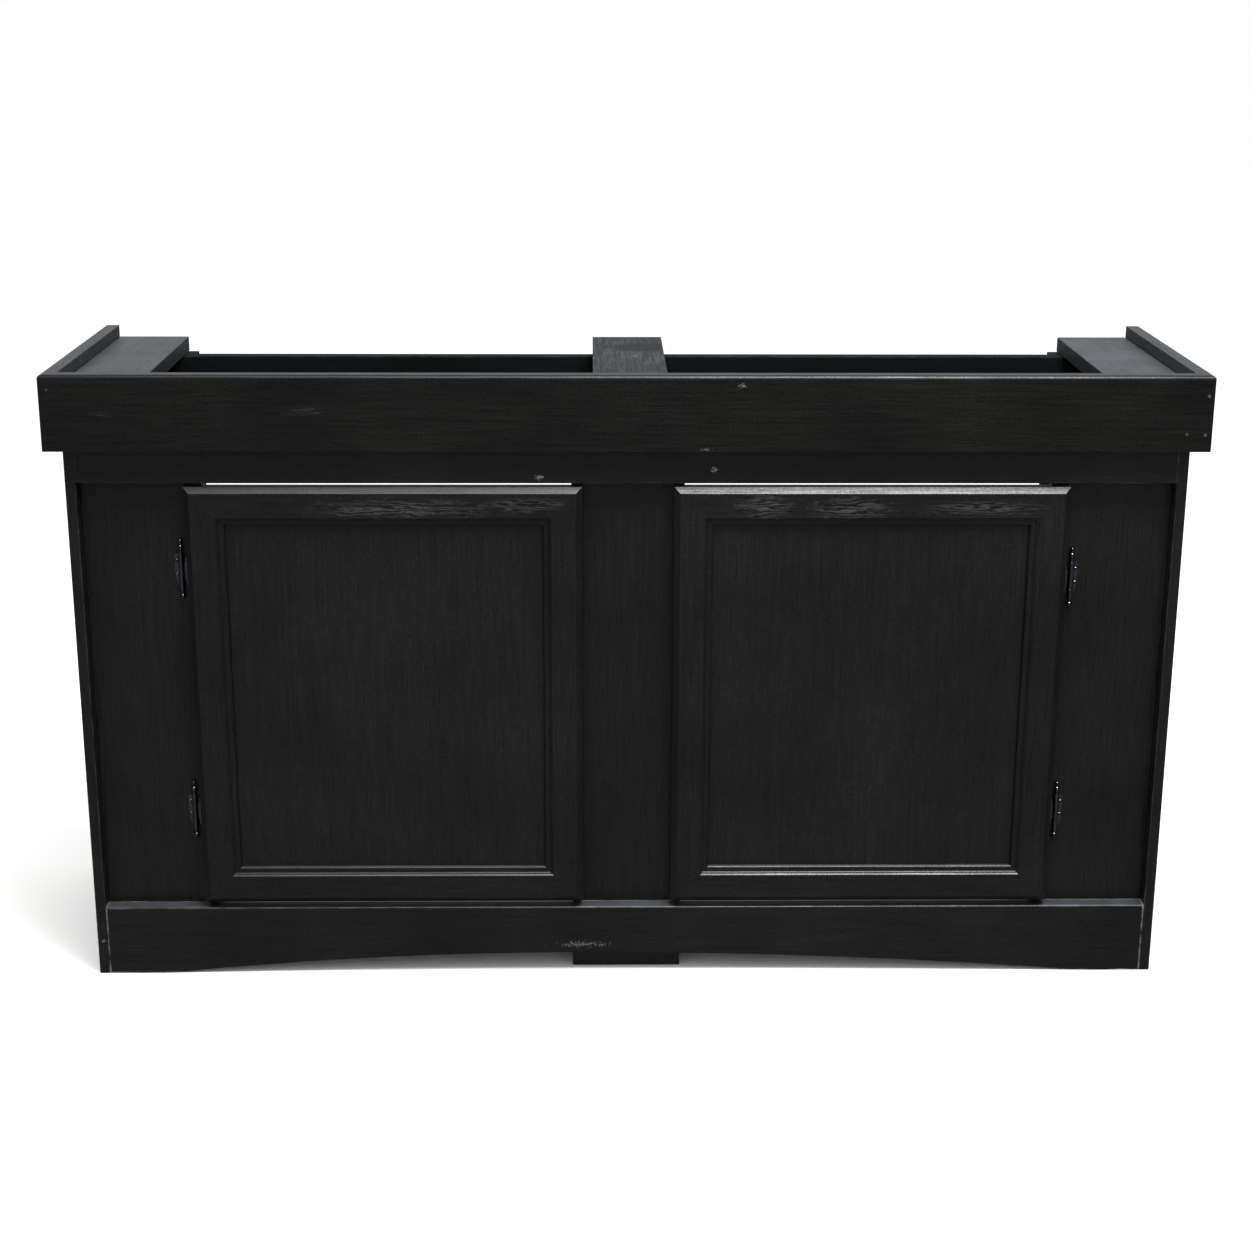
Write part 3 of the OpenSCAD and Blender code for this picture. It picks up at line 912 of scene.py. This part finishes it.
@dataclass
class Hinge:
    """One barrel hinge: wing on the stile, leaf behind the door and the ball-tipped turned pin.

    The pin's outline is, from its foot: a blunt tip, a ball, a neck, the core that runs through the
    knuckles, a neck, a large ball, a short stem and a small ball. Its sizes are radii and heights.
    """

    side: Side
    level: Level
    arris: float = 0.45 * MM
    ball: float = 3.7 * MM
    small_ball: float = 2.22 * MM
    foot_ball: float = 3.256 * MM
    foot_tip: float = 1.85 * MM
    core: float = 1.4 * MM
    tip_gap: float = 1.2 * MM
    neck: float = 3.8 * MM
    neck_wide: float = 2.48 * MM
    neck_thin: float = 1.86 * MM
    cove: float = 0.3 * MM
    # Faces round the pin, up a ball and along a neck.
    steps: int = 40
    ball_turns: int = 14
    neck_turns: int = 6
    merge: float = 0.005 * MM

    def build(self, plate: bpy.types.Material) -> None:
        """Forms the hinge's three pieces.

        Args:
            plate: Finish of the hinge.
        """
        stem = f"{self.side.word}_{self.level.value}_hinge_"
        for part in ("wing", "leaf"):
            pressing = merged_copy(stem + part, stem + part + "_pressing")
            break_arrises(pressing, self.arris)
            stand_for(pressing, stem + part, plate)
        stand_for(self.turn_pin(stem + "pin"), stem + "pin", plate)
        log.info("hinge: %s %s", self.side.word, self.level.value)

    def ball_points(self, middle: float, radius: float, start: float, end: float) -> list[Point]:
        """Points up the outline of one ball.

        Args:
            middle: Height of the ball's centre.
            radius: Its radius.
            start: Radius of what it stands on.
            end: Radius of what stands on it.

        Returns:
            Radius and height of each point, from below.
        """
        low = math.asin(start / radius)
        high = math.pi - math.asin(end / radius)
        angles = [low + (high - low) * i / self.ball_turns for i in range(self.ball_turns + 1)]
        return [(radius * math.sin(t), middle - radius * math.cos(t)) for t in angles]

    def neck_points(self, wide_at: float, thin_at: float) -> list[Point]:
        """Points along a coved neck, from its wide end to its thin end.

        Args:
            wide_at: Height of its wide end.
            thin_at: Height of its thin end.

        Returns:
            Radius and height of each point.
        """
        points = []
        for i in range(self.neck_turns + 1):
            t = i / self.neck_turns
            hollow = self.cove * math.sin(math.pi * t)
            radius = self.neck_wide + (self.neck_thin - self.neck_wide) * t - hollow
            points.append((radius, wide_at + (thin_at - wide_at) * t))
        return points

    def outline(self, low: float, high: float) -> list[Point]:
        """Half outline of the pin.

        Args:
            low: Height of its lowest point.
            high: Height of its highest point.

        Returns:
            Radius and height of each point, from the foot to the top.
        """
        tip = low + self.foot_tip
        foot = tip + self.foot_ball
        top_small = high - self.small_ball
        top = top_small - self.small_ball - self.tip_gap - self.ball
        drop = (2 * self.foot_ball**2 - self.foot_tip**2) / (2 * self.foot_ball)
        waist = math.sqrt(self.foot_ball**2 - drop**2)
        barrel_foot = foot + self.foot_ball + self.neck
        barrel_top = top - self.ball - self.neck
        foot_neck = self.neck_points(barrel_foot, foot + self.foot_ball)[::-1]
        points = self.ball_points(tip, self.foot_tip, 0.0, waist)
        points += self.ball_points(foot, self.foot_ball, waist, self.neck_thin)
        points += foot_neck + [(self.core, barrel_foot), (self.core, barrel_top)]
        points += self.neck_points(barrel_top, top - self.ball)
        points += self.ball_points(top, self.ball, self.neck_thin, self.core)
        points += self.ball_points(top_small, self.small_ball, self.core, 0.0)
        return points

    def turn_pin(self, node: str) -> bpy.types.Object:
        """Turns the pin: its outline is extruded point by point and spun about its axis.

        Args:
            node: CAD node that gives the axis, the foot and the top.

        Returns:
            The pin.
        """
        low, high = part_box(node)
        axis = (low + high) / 2
        points = self.outline(low.z, high.z)
        bpy.ops.object.select_all(action="DESELECT")
        bpy.ops.mesh.primitive_plane_add(size=self.core, location=(axis.x, axis.y, points[0][1]))
        pin = bpy.context.object
        pin.name = node + "_turned"
        bpy.ops.object.transform_apply(location=True, rotation=True, scale=True)
        bpy.ops.object.mode_set(mode="EDIT")
        bpy.ops.mesh.select_mode(type="VERT")
        bpy.ops.mesh.select_all(action="SELECT")
        bpy.ops.mesh.merge(type="CENTER")
        last = (0.0, points[0][1])
        for point in points[1:]:
            step = (point[0] - last[0], 0.0, point[1] - last[1])
            bpy.ops.mesh.extrude_region_move(TRANSFORM_OT_translate={"value": step})
            last = point
        bpy.ops.mesh.select_all(action="SELECT")
        centre = (axis.x, axis.y, 0.0)
        bpy.ops.mesh.spin(steps=self.steps, angle=math.tau, center=centre, axis=(0.0, 0.0, 1.0))
        bpy.ops.mesh.select_all(action="SELECT")
        bpy.ops.mesh.remove_doubles(threshold=self.merge)
        bpy.ops.mesh.normals_make_consistent(inside=False)
        bpy.ops.object.mode_set(mode="OBJECT")
        bpy.ops.object.shade_smooth_by_angle(angle=TURNED_ANGLE)
        return pin


@dataclass
class Studio:
    """Pale floor, soft light and the camera.

    The focal length is in millimetres. The soft boxes hang at lamp_y and lamp_z and face lit_y and lit_z.
    """

    focal: float = 62.59
    eye: Vector = field(default_factory=lambda: Vector((-0.0395, -2.4838, 1.1287)))
    yaw: float = math.radians(0.896)
    pitch: float = math.radians(16.785)
    roll: float = math.radians(0.207)
    floor_size: float = 240.0
    sky: float = 1.3
    # Strength of the surround that mirrored rays see: in front, at the sides and behind.
    front_glow: float = 0.22
    side_glow: float = 0.15
    back_glow: float = 0.85
    lamp_y: float = -1.05
    lamp_z: float = 2.7
    lit_y: float = -0.16
    lit_z: float = 0.58
    lamp_size: tuple[float, float] = (1.1, 0.9)

    def build(self) -> None:
        """Makes the floor, the world, the lights and the camera."""
        self.lay_floor()
        self.light()
        self.place_camera()

    def lay_floor(self) -> None:
        """Lays the pale floor."""
        bpy.ops.object.select_all(action="DESELECT")
        bpy.ops.mesh.primitive_plane_add(size=self.floor_size)
        floor = bpy.context.object
        floor.name = "studio_floor"
        material, tree, surface = new_material("studio_floor")
        place = add(tree, "TexCoord").outputs["Object"]
        mottle = add(tree, "TexNoise", {"Vector": place, "Scale": 3.0, "Detail": 4.0})
        tone = add(
            tree,
            "Mix",
            {"Factor": mottle, "A": paint("#e6e6e4"), "B": paint("#ecebe9")},
            data_type="RGBA",
        )
        tree.links.new(tone.outputs["Result"], surface.inputs["Base Color"])
        surface.inputs["Roughness"].default_value = 0.9
        surface.inputs["Specular IOR Level"].default_value = 0.1
        floor.data.materials.append(material)
        floor.visible_glossy = False

    def light(self) -> None:
        """Sets the world and the soft boxes.

        The world lights evenly, but mirrored rays see a darker surround in front and a paler one behind.
        """
        scene = bpy.context.scene
        scene.view_settings.view_transform = "Standard"
        world = bpy.data.worlds.new("studio")
        scene.world = world
        world.use_nodes = True
        tree = world.node_tree
        tree.nodes.clear()
        way = add(tree, "SeparateXYZ", {0: add(tree, "TexCoord").outputs["Generated"]})
        aside = add(tree, "Math", {0: way.outputs[0]}, operation="ABSOLUTE")
        flag = add(
            tree,
            "MapRange",
            {
                "Value": aside,
                "From Min": 0.1,
                "From Max": 0.55,
                "To Min": self.front_glow,
                "To Max": self.side_glow,
            },
            interpolation_type="SMOOTHSTEP",
        )
        back = add(
            tree,
            "MapRange",
            {"Value": way.outputs[1], "From Min": 0.0, "From Max": 0.5, "To Min": 0.0, "To Max": 1.0},
            interpolation_type="SMOOTHSTEP",
        )
        rise = add(
            tree,
            "MapRange",
            {"Value": way.outputs[2], "From Min": -0.05, "From Max": 0.3, "To Min": 0.0, "To Max": 1.0},
            interpolation_type="SMOOTHSTEP",
        )
        behind = add(tree, "Math", {0: back, 1: rise}, operation="MULTIPLY")
        shown = add(
            tree,
            "MapRange",
            {
                "Value": behind,
                "From Min": 0.0,
                "From Max": 1.0,
                "To Min": flag.outputs[0],
                "To Max": self.back_glow,
            },
        )
        mirrored = add(tree, "Background", {"Color": paint("#eef4fb"), "Strength": shown})
        open_air = add(tree, "Background", {"Color": paint("#fbfcfd"), "Strength": self.sky})
        ray = add(tree, "LightPath")
        mix = add(tree, "MixShader", {0: ray.outputs["Is Glossy Ray"], 1: open_air, 2: mirrored})
        add(tree, "OutputWorld", {"Surface": mix})
        self.soft_box("overhead_strip", 0.62, 100.0)
        self.soft_box("overhead_fill", -0.45, 20.0)

    def soft_box(self, name: str, along: float, power: float) -> None:
        """Hangs one rectangular soft box in front of the cabinet, turned to the doors.

        Args:
            name: Name of the light.
            along: Place of the light and of the point that it faces, along X.
            power: Its power in watts.
        """
        place = (along, self.lamp_y, self.lamp_z)
        target = (along, self.lit_y, self.lit_z)
        data = bpy.data.lights.new(name, "AREA")
        data.shape = "RECTANGLE"
        data.size, data.size_y = self.lamp_size
        data.energy = power
        lamp = bpy.data.objects.new(name, data)
        bpy.context.scene.collection.objects.link(lamp)
        lamp.location = place
        lamp.rotation_euler = (Vector(target) - Vector(place)).to_track_quat("-Z", "Y").to_euler()

    def place_camera(self) -> None:
        """Stands the camera a little above the rim, looking slightly down."""
        data = bpy.data.cameras.new("camera")
        data.lens = self.focal
        camera = bpy.data.objects.new("camera", data)
        bpy.context.scene.collection.objects.link(camera)
        camera.location = self.eye
        level = Euler((math.pi / 2 - self.pitch, 0.0, -self.yaw)).to_quaternion()
        camera.rotation_mode = "QUATERNION"
        camera.rotation_quaternion = level @ Quaternion((0, 0, 1), self.roll)
        bpy.context.scene.camera = camera


def main() -> None:
    """Builds the looks in order."""
    logging.basicConfig(level=logging.INFO, format="%(message)s")
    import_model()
    Studio().build()
    plate = BlackNickel().material()
    rubber = BumperRubber().material()
    Case().build()
    for side in Side:
        Door(side).build(rubber)
        for level in Level:
            Hinge(side, level).build(plate)
        SlottedScrews(f"{side.word}_leaf_screws", Facing.BACK).build(plate)
    SlottedScrews("wing_screws", Facing.FRONT).build(plate)


if __name__ == "__main__":
    main()
